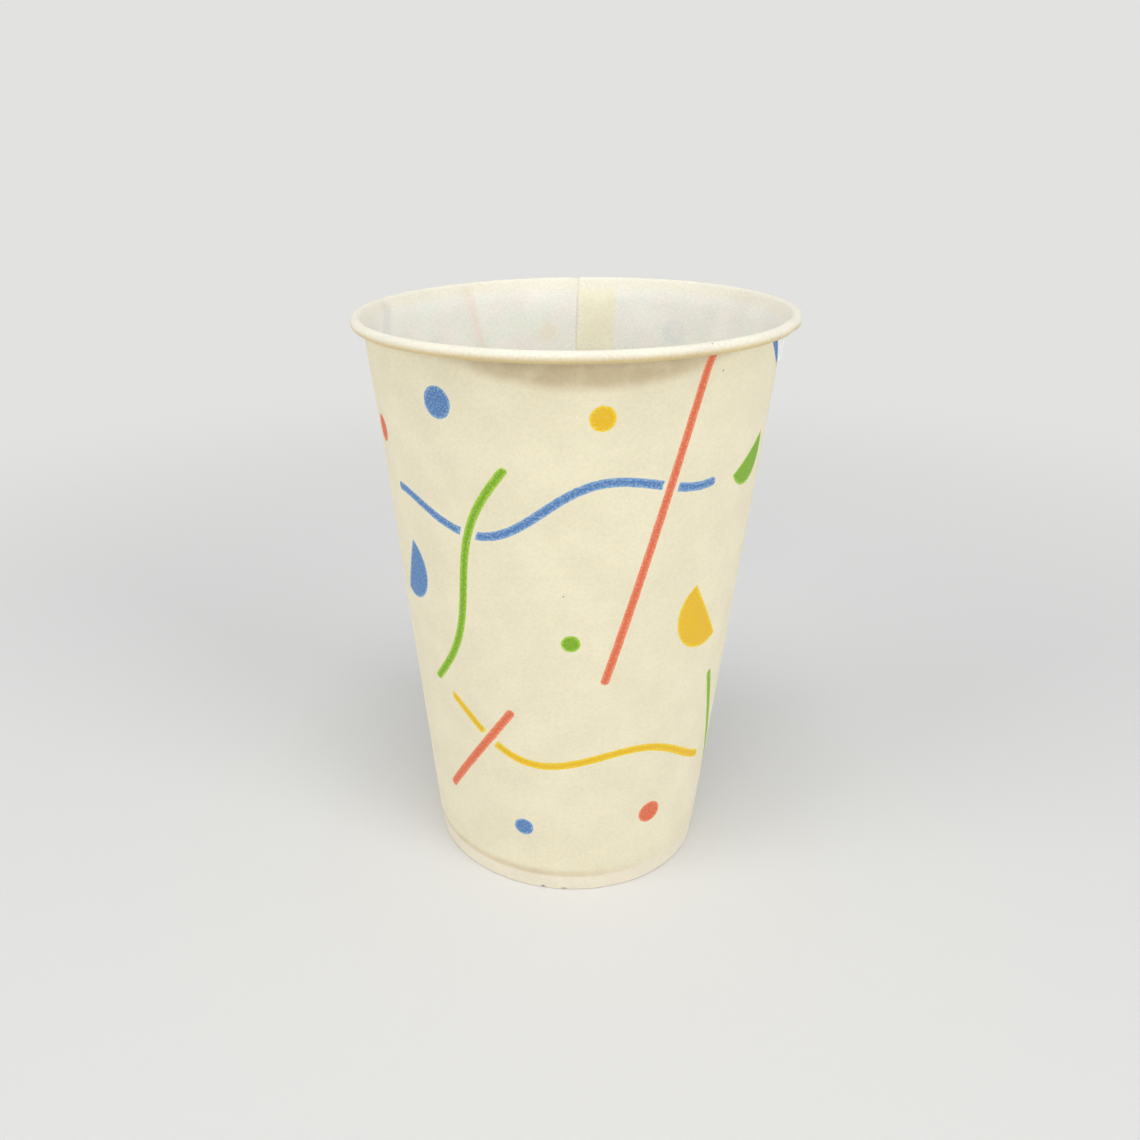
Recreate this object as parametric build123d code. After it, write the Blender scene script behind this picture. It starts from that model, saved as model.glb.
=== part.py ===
from build123d import *
import os
from math import atan, cos, degrees, radians, sin, tan

# A rolled paper drinking cup, in millimetres and degrees.
# Its axis is Z, it stands on Z = 0, and its side seam is at the back, on +Y.
# Two pieces: the side wall, one rolled and glued blank, and the disc that closes the foot.

# Outside of the cup
cup_height = 111.2
rim_diameter = 82.5
foot_diameter = 54.5
rim_overhang = 2.65           # out from the straight wall, carried on up to the height of the rim

# Paper and glue
wall_paper = 0.28
disc_paper = 0.30
glue_line = 0.05              # on each side of the disc's skirt

# Rolled rim
bead_diameter = 2.1
roll_gap = 0.1                # between the turns of the roll
outer_turn = 270
inner_turn = 60
flare_slope = 60              # of the flared neck under the rim, where it leans out most

# Foot: the lower edge of the wall is folded in and up, round the skirt of the disc
hem_height = 5.2              # from the table to the cut edge inside
hem_headroom = 0.6            # from that edge up to the disc
fold_radius = 0.06            # inside the fold
press_margin = 1.1            # the pressed band round the foot ends this far under the cut edge
press_depth = 0.12
press_step = 0.7              # how far up the wall the band takes to fade out
disc_corner = 0.9             # outside radius where the disc turns down into its skirt

# Side seam
seam_azimuth = 90             # of the middle of the lap
lap_width = 8.2               # at the neck
lap_ramp = 3.0                # where the outer flap climbs on to the inner one, at the neck

# Dent in the neck, right under the rim
dent_azimuth = -9
dent_height = 8.6
dent_depth = 2.2
dent_reach = 18.0             # from the wall out to the centre of the dent's curve
dent_headroom = 0.1           # between the paper over the dent and the rolled rim

# Bends are drawn as short flats that turn by about this much
flat_turn = 45

# Worked out from the sizes above
neck_diameter = rim_diameter - 2 * rim_overhang
wall_rise = ((neck_diameter - foot_diameter) / 2 - press_depth) / cup_height
wall_slant = degrees(atan(wall_rise))
slant_width = 1 / cos(radians(wall_slant))
bead_radius = bead_diameter / 2
bead_centre_r = rim_diameter / 2 - bead_radius
bead_centre_z = cup_height - bead_radius
skirt_slot = disc_paper + 2 * glue_line
disc_underside = hem_height + hem_headroom
lap_angle = degrees(lap_width / (neck_diameter / 2))
ramp_angle = degrees(lap_ramp / (neck_diameter / 2))
inner_flap_edge = seam_azimuth + lap_angle / 2
outer_flap_edge = seam_azimuth - lap_angle / 2


class SheetSection:
    """Section of a bent sheet, drawn from one cut edge to the other, in (radius, height).

    The near face is on the left of the way that the section is drawn, the far face on its right.
    """

    def __init__(self, start, heading, thickness):
        self.point = Vector(*start)
        self.heading = heading
        self.thickness = thickness
        self.start = self.point
        self.far_start = self.far_point()
        self.near_edges = []
        self.far_edges = []

    def far_point(self):
        """The point of the far face across from the drawing point."""
        return self.point + Vector(self.thickness, 0).rotate(Axis.Z, self.heading - 90)

    def run(self, length):
        """A straight stretch."""
        step = Vector(length, 0).rotate(Axis.Z, self.heading)
        self.near_edges.append(Line(self.point, self.point + step))
        self.far_edges.append(Line(self.far_point(), self.far_point() + step))
        self.point = self.point + step

    def step_aside(self, length, depth):
        """A slanting stretch that leaves the sheet this much further to the right."""
        near, far = self.point, self.far_point()
        along = Vector(length, 0).rotate(Axis.Z, self.heading)
        step = along + Vector(depth, 0).rotate(Axis.Z, self.heading - 90)
        self.near_edges.append(Line(near, near + step))
        self.far_edges.append(Line(far, far + step))
        self.point = near + step

    def bend(self, radius, turn):
        """A bend with this radius on the near face. A positive turn goes left."""
        tangent = Vector(1, 0).rotate(Axis.Z, self.heading)
        far_radius = radius + self.thickness if turn > 0 else radius - self.thickness
        near_arc = JernArc(self.point, tangent, radius, turn)
        far_arc = JernArc(self.far_point(), tangent, far_radius, turn)
        flats = max(2, round(abs(turn) / flat_turn))
        stops = [step / flats for step in range(flats + 1)]
        self.near_edges += [Line(near_arc @ a, near_arc @ b) for a, b in zip(stops, stops[1:])]
        self.far_edges += [Line(far_arc @ a, far_arc @ b) for a, b in zip(stops, stops[1:])]
        self.point = near_arc @ 1
        self.heading = (self.heading + turn) % 360

    def face(self):
        """The closed section, standing on the plane through the cup's axis."""
        near_cap = Line(self.far_start, self.start)
        far_cap = Line(self.point, self.far_point())
        return Plane.XZ * make_face([near_cap, *self.near_edges, far_cap, *self.far_edges])

    def filled_face(self):
        """All that lies between the far face and the cup's axis."""
        axis_bottom = (0, self.far_start.Y)
        axis_top = (0, self.far_point().Y)
        bottom = Line(axis_bottom, self.far_start)
        top = Line(self.far_point(), axis_top)
        axis = Line(axis_top, axis_bottom)
        return Plane.XZ * make_face([bottom, *self.far_edges, top, axis])


def band_radius(height):
    """Radius of the wall's inside face in the pressed band."""
    return foot_diameter / 2 - wall_paper * slant_width + height * wall_rise


def wall_radius(height):
    """Outside radius of the straight wall above the pressed band."""
    return foot_diameter / 2 + press_depth * slant_width + height * wall_rise


def draw_fold(section, slot):
    """The hem, and the fold that the cup stands on, which is pressed flat underneath."""
    hem_turn = 90 + wall_slant
    wall_turn = 90 - wall_slant
    hem_tangent = fold_radius * tan(radians(hem_turn / 2))
    wall_tangent = fold_radius * tan(radians(wall_turn / 2))
    section.run((hem_height - section.thickness) * slant_width - hem_tangent)
    section.bend(fold_radius, hem_turn)
    section.run(slot * slant_width - hem_tangent - wall_tangent)
    section.bend(fold_radius, wall_turn)


def draw_band(section):
    """The pressed band round the foot, and the faint step where the wall comes out of it."""
    crease_height = hem_height - press_margin
    section.run((crease_height - section.point.Y) * slant_width)
    section.step_aside(press_step, press_depth)


def draw_wall(section, outward):
    """The straight wall and its flared neck, up to where the sheet stands upright in the bead.

    The neck is two equal bends. Their radius follows from how far out the bead lies.
    """
    slant = radians(section.heading)
    flat = radians(flare_slope)
    gain_r = sin(slant) - 2 * sin(flat) + 1
    gain_z = 2 * cos(flat) - cos(slant)
    top_r = bead_centre_r - bead_radius + outward
    line_r = section.point.X + (bead_centre_z - section.point.Y) * wall_rise
    neck_bend = (top_r - line_r) / (gain_r - gain_z * wall_rise)
    neck_z = bead_centre_z - gain_z * neck_bend
    section.run((neck_z - section.point.Y) * slant_width)
    section.bend(neck_bend, flare_slope - section.heading)
    section.bend(neck_bend, 90 - flare_slope)


def wall_section(layers=1, outward=0, inner_roll=False):
    """Section of the wall, from the cut edge of the hem to the cut edge in the rolled rim.

    At the seam the sheet is doubled, or lies outward of the flap that it is glued to.
    """
    slot = skirt_slot + 2 * outward
    hem_r = band_radius(hem_height) + (outward - slot) * slant_width
    section = SheetSection((hem_r, hem_height), 270 - wall_slant, layers * wall_paper)
    draw_fold(section, slot)
    draw_band(section)
    draw_wall(section, outward)
    roll_radius = bead_radius - outward
    section.bend(roll_radius, -outer_turn)
    if inner_roll:
        section.bend(roll_radius - wall_paper - roll_gap, -inner_turn)
    return section


def swept(section, azimuth, angle):
    """This section swept round the cup, from one azimuth through this angle."""
    return Rot(Z=azimuth) * revolve(section.face(), axis=Axis.Z, revolution_arc=angle)


def make_blank():
    """The rolled blank: one layer all round, and two where its ends lap at the seam."""
    ramp_foot = inner_flap_edge + ramp_angle
    single = swept(wall_section(inner_roll=True), ramp_foot, 360 - lap_angle - ramp_angle)
    lap = swept(wall_section(layers=2), outer_flap_edge, lap_angle)
    on_flap = Rot(Z=inner_flap_edge) * wall_section(outward=wall_paper).face()
    off_flap = Rot(Z=ramp_foot) * wall_section().face()
    ramp = loft([on_flap, off_flap], ruled=True)
    with BuildPart() as blank:
        add([single, lap, ramp], clean=False)
    return blank.part


def dent_cone(grow):
    """The curve that the dent follows: a cone that leaves the wall at the dent's lower end."""
    top_z = cup_height - bead_diameter - dent_headroom - wall_paper
    bottom_z = top_z - dent_height
    centre_r = wall_radius(top_z) + dent_reach
    bottom_radius = centre_r - wall_radius(bottom_z) + grow
    top_radius = dent_reach + dent_depth + grow
    lower_face = (Align.CENTER, Align.CENTER, Align.MIN)
    cone = Cone(bottom_radius, top_radius, dent_height + grow, align=lower_face)
    return Rot(Z=dent_azimuth) * Pos(centre_r, 0, bottom_z) * cone


def make_dent_skin():
    """The paper pushed in at the dent, as thick as the wall that it joins."""
    start_z = hem_height
    start = (wall_radius(start_z) - wall_paper * slant_width, start_z)
    half_wall = SheetSection(start, 90 - wall_slant, wall_paper / 2)
    draw_wall(half_wall, 0)
    inside = revolve(half_wall.filled_face(), axis=Axis.Z)
    return (dent_cone(wall_paper) - dent_cone(0)) & inside


def make_side_wall():
    """The blank with its dent."""
    blank = make_blank()
    hollow = dent_cone(0)
    dent_skin = make_dent_skin()
    with BuildPart() as side_wall:
        add(blank, clean=False)
        add(hollow, mode=Mode.SUBTRACT, clean=False)
        add(dent_skin, clean=False)
    return side_wall.part


def make_bottom_disc():
    """The disc, turned down all round into the skirt that the hem grips."""
    skirt_turn = 90 + wall_slant
    corner_tangent = disc_corner * tan(radians(skirt_turn / 2))
    disc_top = disc_underside + disc_paper
    skirt_end = 2 * (wall_paper + glue_line)
    corner_r = band_radius(disc_top) - glue_line * slant_width
    section = SheetSection((0, disc_top), 0, disc_paper)
    section.run(corner_r - corner_tangent)
    section.bend(disc_corner, -skirt_turn)
    section.run((disc_top - skirt_end) * slant_width - corner_tangent)
    return revolve(section.face(), axis=Axis.Z)


pieces = {
    "side_wall": make_side_wall(),
    "bottom_disc": make_bottom_disc(),
}

os.makedirs("parts", exist_ok=True)
for name, piece in pieces.items():
    export_step(piece, f"parts/{name}.step")
    print(f"{name}: {piece.volume:.1f} cubic mm, valid {piece.is_valid}")
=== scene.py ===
"""Looks of a rolled paper drinking cup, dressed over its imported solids.

Sizes are in millimetres and degrees, in the frame of the solids, and are turned into
metres when a mesh is made. Azimuths are counted from +X, and the seam lies at +Y.
"""

import logging
import math
from collections.abc import Mapping, Sequence
from dataclasses import dataclass
from enum import Enum, auto

import bpy
import numpy as np
from mathutils import Matrix, Vector


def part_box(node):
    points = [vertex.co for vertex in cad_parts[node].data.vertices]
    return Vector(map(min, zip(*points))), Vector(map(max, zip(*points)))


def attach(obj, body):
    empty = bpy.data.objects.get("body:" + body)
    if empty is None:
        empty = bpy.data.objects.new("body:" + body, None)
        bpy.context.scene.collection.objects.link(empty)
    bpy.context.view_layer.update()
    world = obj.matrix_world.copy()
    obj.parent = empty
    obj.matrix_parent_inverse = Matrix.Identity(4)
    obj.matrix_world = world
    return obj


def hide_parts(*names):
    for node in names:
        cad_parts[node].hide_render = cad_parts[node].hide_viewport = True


LOG = logging.getLogger("paper_cup")
MM = 0.001
Grid = np.ndarray
Pair = tuple[float, float]
Triple = tuple[float, float, float]

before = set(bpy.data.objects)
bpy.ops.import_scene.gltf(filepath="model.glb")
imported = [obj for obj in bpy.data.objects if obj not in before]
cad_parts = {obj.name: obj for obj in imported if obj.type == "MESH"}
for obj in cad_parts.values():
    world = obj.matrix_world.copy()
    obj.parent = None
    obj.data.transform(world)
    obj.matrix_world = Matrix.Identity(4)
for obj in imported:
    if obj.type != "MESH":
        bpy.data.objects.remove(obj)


# Sizes


@dataclass(frozen=True)
class CupSizes:
    """Sizes of the cup's paper, folds and roll."""

    height: float
    rim_radius: float
    foot_radius: float = 27.25
    rim_overhang: float = 2.65
    wall_paper: float = 0.28
    disc_paper: float = 0.30
    glue_line: float = 0.05
    bead_radius: float = 1.05
    roll_gap: float = 0.1
    outer_turn: float = 270.0
    inner_turn: float = 60.0
    flare_slope: float = 60.0
    hem_height: float = 5.2
    hem_headroom: float = 0.6
    fold_radius: float = 0.06
    press_margin: float = 1.8
    press_depth: float = 0.12
    press_step: float = 0.7
    disc_corner: float = 0.9
    seam_azimuth: float = 90.0
    lap_half_width: float = 4.1
    lap_ramp: float = 3.0
    lap_glue: float = 0.02

    @classmethod
    def from_solids(cls) -> "CupSizes":
        """The sizes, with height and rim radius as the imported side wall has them."""
        low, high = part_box("side_wall")
        return cls(height=(high.z - low.z) / MM, rim_radius=(high.x - low.x) / MM / 2)

    @property
    def neck_radius(self) -> float:
        """Radius of the straight wall, carried on up to the height of the rim."""
        return self.rim_radius - self.rim_overhang

    @property
    def wall_rise(self) -> float:
        """How much the wall's radius grows for each millimetre of height."""
        return (self.neck_radius - self.foot_radius - self.press_depth) / self.height

    @property
    def wall_slant(self) -> float:
        """Angle between the wall and the axis."""
        return math.degrees(math.atan(self.wall_rise))

    @property
    def slant_width(self) -> float:
        """Level width of the wall for each millimetre of its thickness."""
        return 1 / math.cos(math.radians(self.wall_slant))

    @property
    def bead_centre(self) -> Pair:
        """Radius and height of the middle of the rolled rim."""
        return self.rim_radius - self.bead_radius, self.height - self.bead_radius

    @property
    def roll_turn(self) -> float:
        """Angle of the roll's outer turn, from where the flared neck runs into it."""
        return self.outer_turn - 90 + self.flare_slope

    def band_radius(self, height: float) -> float:
        """Radius of the wall's inside face in the pressed band at this height."""
        return self.foot_radius - self.wall_paper * self.slant_width + height * self.wall_rise


def unit(heading: float) -> Grid:
    """Step of length one, as two numbers, at this angle from the first axis."""
    return np.array([math.cos(math.radians(heading)), math.sin(math.radians(heading))])


def ease(value: Grid | float, low: float, high: float) -> Grid:
    """Climbs smoothly from 0 where the value is low to 1 where it is high."""
    share = np.clip((np.asarray(value, float) - low) / (high - low), 0.0, 1.0)
    return share * share * (3 - 2 * share)


def arch(value: Grid, half_width: Grid | float) -> Grid:
    """Cosine arch: 1 at zero, and 0 from the half width on."""
    return np.cos(np.clip(value / half_width, -1, 1) * np.pi / 2)


# Unevenness of the thin wall


@dataclass(frozen=True)
class Dent:
    """The dent in the neck, with its near flank on the viewer's side.

    It is deepest at its top and narrows to a tip lower down. A crest stands along its far
    side, and the creased flank below that crest is left without ink, with a painted highlight.
    """

    azimuth: float = -10.6
    lean: float = 9.0
    depth: float = 2.35
    deepening: float = 1.25
    near_width: float = 7.8
    far_width: float = 3.0
    near_softness: float = 2.0
    far_softness: float = 1.2
    tip: float = 100.8
    top: float = 108.6
    close: float = 109.8
    tip_share: float = 0.4
    crease_share: float = 0.68
    crest: float = 0.5
    crest_width: float = 0.62
    crest_foot: float = 101.9
    crest_onset: float = 0.35
    crest_tip_share: float = 0.35
    neck_radius: float = 38.2

    def _spread(self, azimuth: Grid, height: Grid) -> tuple[Grid, Grid, Grid]:
        """Places points within the dent.

        Args:
            azimuth: Azimuths of the points.
            height: Their heights.

        Returns:
            Share of the climb from tip to top, millimetres past the dent's deepest line,
            and the dent's width on that side.
        """
        climb = np.clip((height - self.tip) / (self.top - self.tip), 0, 1)
        line = self.azimuth + self.lean * (1 - climb)
        across = np.radians(azimuth - line) * self.neck_radius
        narrowed = self.tip_share + (1 - self.tip_share) * climb
        return climb, across, np.where(across < 0, self.near_width, self.far_width) * narrowed

    def push(self, azimuth: Grid, height: Grid) -> Grid:
        """Works out how far the dent moves the wall.

        Args:
            azimuth: Azimuths of the points.
            height: Their heights.

        Returns:
            Millimetres outwards.
        """
        climb, across, width = self._spread(azimuth, height)
        softness = np.where(across < 0, self.near_softness, self.far_softness)
        bowl = arch(across, width) ** softness * climb**self.deepening
        rise = np.clip((height - self.crest_foot) / (self.top - self.crest_foot), 0, 1)
        narrow = self.crest_tip_share + (1 - self.crest_tip_share) * rise
        narrow = self.crest_width * narrow
        crest = np.exp(-(((across - width - 0.5 * narrow) / narrow) ** 2))
        crest = crest * ease(height, self.crest_foot, self.crest_foot + self.crest_onset)
        push = self.crest * crest - self.depth * bowl
        return push * (1 - ease(height, self.top, self.close))

    def past_crease(self, azimuth: Grid, height: Grid) -> Grid:
        """Millimetres past the near edge of the creased strip without ink, below zero before it."""
        _, across, width = self._spread(azimuth, height)
        return across - self.crease_share * width


@dataclass(frozen=True)
class Ripple:
    """A slight wave round the wall, which turns a little on its way up."""

    depth: float
    crests: int
    phase: float = 0.0
    turn_height: float = math.inf

    def push(self, turn: Grid, height: Grid) -> Grid:
        """Millimetres outwards, for azimuths in radians and heights."""
        return self.depth * np.sin(self.crests * turn + height / self.turn_height + self.phase)


@dataclass(frozen=True)
class Swell:
    """A bell-shaped rise or sinking at one azimuth."""

    rise: float
    azimuth: float
    width: float

    def lift(self, azimuth: Grid) -> Grid:
        """Millimetres upwards at each azimuth."""
        return self.rise * np.exp(-(((azimuth - self.azimuth) / self.width) ** 2))


@dataclass(frozen=True)
class Unevenness:
    """Where rolling, stacking and handling left the wall and its edges out of true."""

    ripples: tuple[Ripple, ...] = (
        Ripple(0.07, 2, 0.7),
        Ripple(0.05, 3, 0.0, -31.0),
        Ripple(0.035, 7, 0.0, 17.0),
        Ripple(0.02, 13, 0.0, -9.0),
    )
    stiff_foot: Pair = (4.0, 60.0)
    stiff_neck: Pair = (104.0, 110.0)
    neck_stiffness: float = 0.6
    flare: float = 0.4
    flare_azimuth: float = -160.0
    flare_reach: float = 45.0
    flare_climb: Pair = (86.0, 106.0)
    flare_close: Pair = (106.0, 109.5)
    nicks: tuple[Swell, ...] = (Swell(0.42, -90.5, 0.841), Swell(0.34, -81.65, 0.841))
    nick_top: Pair = (0.25, 0.9)
    nick_close: Pair = (0.3, 1.0)
    worn_lip: tuple[Swell, ...] = (Swell(0.2, -15.0, 3.0), Swell(-0.15, -7.0, 4.0))
    rim_warp: Ripple = Ripple(0.05, 2, -0.6)
    rim_zone: Pair = (104.0, 109.0)

    def push(self, azimuth: Grid, height: Grid) -> Grid:
        """Works out how far the wall has moved.

        Args:
            azimuth: Azimuths of the points.
            height: Their heights.

        Returns:
            Millimetres outwards.
        """
        turn = np.radians(azimuth)
        free = 1 - self.neck_stiffness * ease(height, *self.stiff_neck)
        free = free * ease(height, *self.stiff_foot)
        left = arch(azimuth - self.flare_azimuth, self.flare_reach) ** 2
        left = left * ease(height, *self.flare_climb) * (1 - ease(height, *self.flare_close))
        return sum(ripple.push(turn, height) for ripple in self.ripples) * free + self.flare * left

    def nick_lift(self, azimuth: Grid, height: Grid) -> Grid:
        """Millimetres by which the nicks raise the edge that the cup stands on."""
        return sum(nick.lift(azimuth) for nick in self.nicks) * (1 - ease(height, *self.nick_top))

    def raised(self, azimuth: Grid, height: Grid, nick: Grid) -> Grid:
        """Moves one face of the sheet up or down.

        Args:
            azimuth: Azimuths of its points.
            height: Their heights.
            nick: How far the nicks lift the sheet there.

        Returns:
            The new heights.
        """
        turn = np.radians(azimuth)
        rim = self.rim_warp.push(turn, height) + sum(lip.lift(azimuth) for lip in self.worn_lip)
        nick = nick * (1 - ease(height, *self.nick_close))
        return height + nick + rim * ease(height, *self.rim_zone)


# Shapes


class Stop(Enum):
    """Places along the sheet that are looked up later."""

    FOOT = auto()
    ROLL = auto()


class SheetPath:
    """Section of a bent sheet, sampled from one cut edge to the other as (radius, height).

    The near face is on the left of the way along the path, the far face on its right.
    """

    def __init__(self, start: Sequence[float], heading: float, thickness: float) -> None:
        """Starts the path.

        Args:
            start: Radius and height of the near face at the cut edge.
            heading: Direction in which the sheet sets off.
            thickness: Thickness of the sheet.
        """
        self.points = [np.array(start, float)]
        self.headings = [heading]
        self.lengths = [0.0]
        self.thickness = thickness
        self.stops: dict[Stop, float] = {}

    def _advance(self, step: Grid, heading: float, length: float) -> None:
        """Adds a sample.

        Args:
            step: Way from the last sample.
            heading: Direction of the sheet there.
            length: Length of sheet in between.
        """
        self.points.append(self.points[-1] + step)
        self.headings.append(heading % 360)
        self.lengths.append(self.lengths[-1] + length)

    def note(self, stop: Stop) -> None:
        """Keeps the length so far under a name."""
        self.stops[stop] = self.lengths[-1]

    def run(self, length: float, steps: int, aside: float = 0.0) -> None:
        """Goes straight on.

        Args:
            length: Length of the stretch.
            steps: Number of samples that it adds.
            aside: How far it drifts to the right on its way, in a gentle S.
        """
        heading = self.headings[-1]
        for drift in np.diff(ease(np.linspace(0, 1, steps + 1), 0, 1)) * aside:
            step = unit(heading) * length / steps + unit(heading - 90) * drift
            self._advance(step, heading, length / steps)

    def bend(self, radius: float, turn: float, steps: int) -> None:
        """Turns on a radius of the near face.

        Args:
            radius: Radius of the near face.
            turn: Angle, positive to the left.
            steps: Number of samples that it adds.
        """
        part = turn / steps
        length = radius * math.radians(abs(part))
        chord = 2 * radius * math.sin(math.radians(abs(part) / 2))
        for _ in range(steps):
            heading = self.headings[-1]
            self._advance(unit(heading + part / 2) * chord, heading + part, length)

    def near(self) -> Grid:
        """Samples of the near face, as rows of radius and height."""
        return np.array(self.points)

    def far(self) -> Grid:
        """Samples of the far face, as rows of radius and height."""
        sideways = np.array([unit(heading - 90) for heading in self.headings])
        return self.near() + sideways * self.thickness


@dataclass(frozen=True)
class WallPath:
    """One way that the wall's sheet runs from the hem to the end of the roll."""

    sizes: CupSizes
    inner_turn: float
    outward: float = 0.0
    lift: float = 0.0
    neck_stretch: float = 7.5

    def sampled(self) -> SheetPath:
        """Samples the sheet.

        Returns:
            The path, with its stops where it lies on the table and where the roll starts.
        """
        s = self.sizes
        slot = s.disc_paper + 2 * s.glue_line + 2 * self.outward
        hem_r = s.band_radius(s.hem_height) + (self.outward - slot) * s.slant_width
        path = SheetPath((hem_r, s.hem_height), 270 - s.wall_slant, s.wall_paper)
        self._fold(path, slot)
        crease = s.hem_height - s.press_margin
        path.run((crease - path.points[-1][1]) * s.slant_width, 6)
        path.run(s.press_step, 5, aside=s.press_depth)
        self._wall(path)
        path.note(Stop.ROLL)
        roll = s.bead_radius - self.outward
        path.bend(roll, -s.roll_turn, 22)
        path.bend(roll - s.wall_paper - s.roll_gap, -self.inner_turn, 5)
        return path

    def _fold(self, path: SheetPath, slot: float) -> None:
        """Adds the hem, and the fold that the cup stands on.

        Args:
            path: The path so far.
            slot: Room for the disc's skirt between hem and wall.
        """
        s = self.sizes
        hem_turn, wall_turn = 90 + s.wall_slant, 90 - s.wall_slant
        hem_tangent = s.fold_radius * math.tan(math.radians(hem_turn / 2))
        wall_tangent = s.fold_radius * math.tan(math.radians(wall_turn / 2))
        drop = s.hem_height - s.wall_paper - self.lift
        path.run(drop * s.slant_width - hem_tangent, 6)
        path.bend(s.fold_radius, hem_turn, 4)
        path.run(slot * s.slant_width - hem_tangent - wall_tangent, 2)
        path.note(Stop.FOOT)
        path.bend(s.fold_radius, wall_turn, 4)

    def _wall(self, path: SheetPath) -> None:
        """Adds the straight wall, and the neck that flares into the roll.

        Args:
            path: The path so far.
        """
        s = self.sizes
        slant = path.headings[-1]
        turn = math.radians(slant - s.flare_slope)
        roll_start = s.bead_centre + unit(s.flare_slope + 90) * (s.bead_radius - self.outward)
        gap = roll_start - path.points[-1]
        bend = gap @ unit(slant - 90) / (1 - math.cos(turn))
        climb = gap @ unit(slant) - bend * math.sin(turn)
        path.run(climb - self.neck_stretch, 30)
        path.run(self.neck_stretch, 24)
        path.bend(bend, s.flare_slope - slant, 14)


def make_piece(name: str, points: Grid, faces: list) -> bpy.types.Object:
    """Makes a mesh object, smooth but for its cut edges.

    Args:
        name: Name of the piece.
        points: Rows of x, y and z.
        faces: Lists of point numbers.

    Returns:
        The object.
    """
    cut_edge = math.radians(42)
    mesh = bpy.data.meshes.new(name)
    mesh.from_pydata((points * MM).tolist(), [], faces)
    mesh.polygons.foreach_set("use_smooth", [True] * len(mesh.polygons))
    mesh.set_sharp_from_angle(angle=cut_edge)
    mesh.validate()
    piece = bpy.data.objects.new(name, mesh)
    bpy.context.scene.collection.objects.link(piece)
    return piece


@dataclass
class SheetGrids:
    """Both faces of a sheet as grids of points, with notes for its paper at each point.

    A note is a grid of numbers, and holds for both faces.
    """

    near: Grid
    far: Grid
    notes: dict[str, Grid]

    def faces(self) -> Grid:
        """Joins the points.

        Returns:
            Quads of both faces and of the four cut edges, as rows of point numbers.
        """
        rows, columns = self.near.shape[:2]
        near = np.arange(rows * columns).reshape(rows, columns)
        far = near + rows * columns
        strips = [
            (far[:-1, :-1], far[1:, :-1], far[1:, 1:], far[:-1, 1:]),
            (near[:-1, :-1], near[:-1, 1:], near[1:, 1:], near[1:, :-1]),
            (far[0, :-1], far[0, 1:], near[0, 1:], near[0, :-1]),
            (far[-1, 1:], far[-1, :-1], near[-1, :-1], near[-1, 1:]),
            (far[1:, 0], far[:-1, 0], near[:-1, 0], near[1:, 0]),
            (far[:-1, -1], far[1:, -1], near[1:, -1], near[:-1, -1]),
        ]
        return np.concatenate([np.stack([c.ravel() for c in strip], 1) for strip in strips])

    def build(self, name: str) -> bpy.types.Object:
        """Makes the mesh object, with each note and the side as numbers at its points.

        Args:
            name: Name of the piece.

        Returns:
            The object.
        """
        points = np.concatenate([self.near.reshape(-1, 3), self.far.reshape(-1, 3)])
        piece = make_piece(name, points, self.faces().tolist())
        values = {label: np.tile(note.ravel(), 2) for label, note in self.notes.items()}
        values["sheet_side"] = np.repeat([0.0, 1.0], len(points) // 2)
        for label, numbers in values.items():
            layer = piece.data.attributes.new(label, "FLOAT", "POINT")
            layer.data.foreach_set("value", numbers.astype(np.float32))
        return piece


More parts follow.
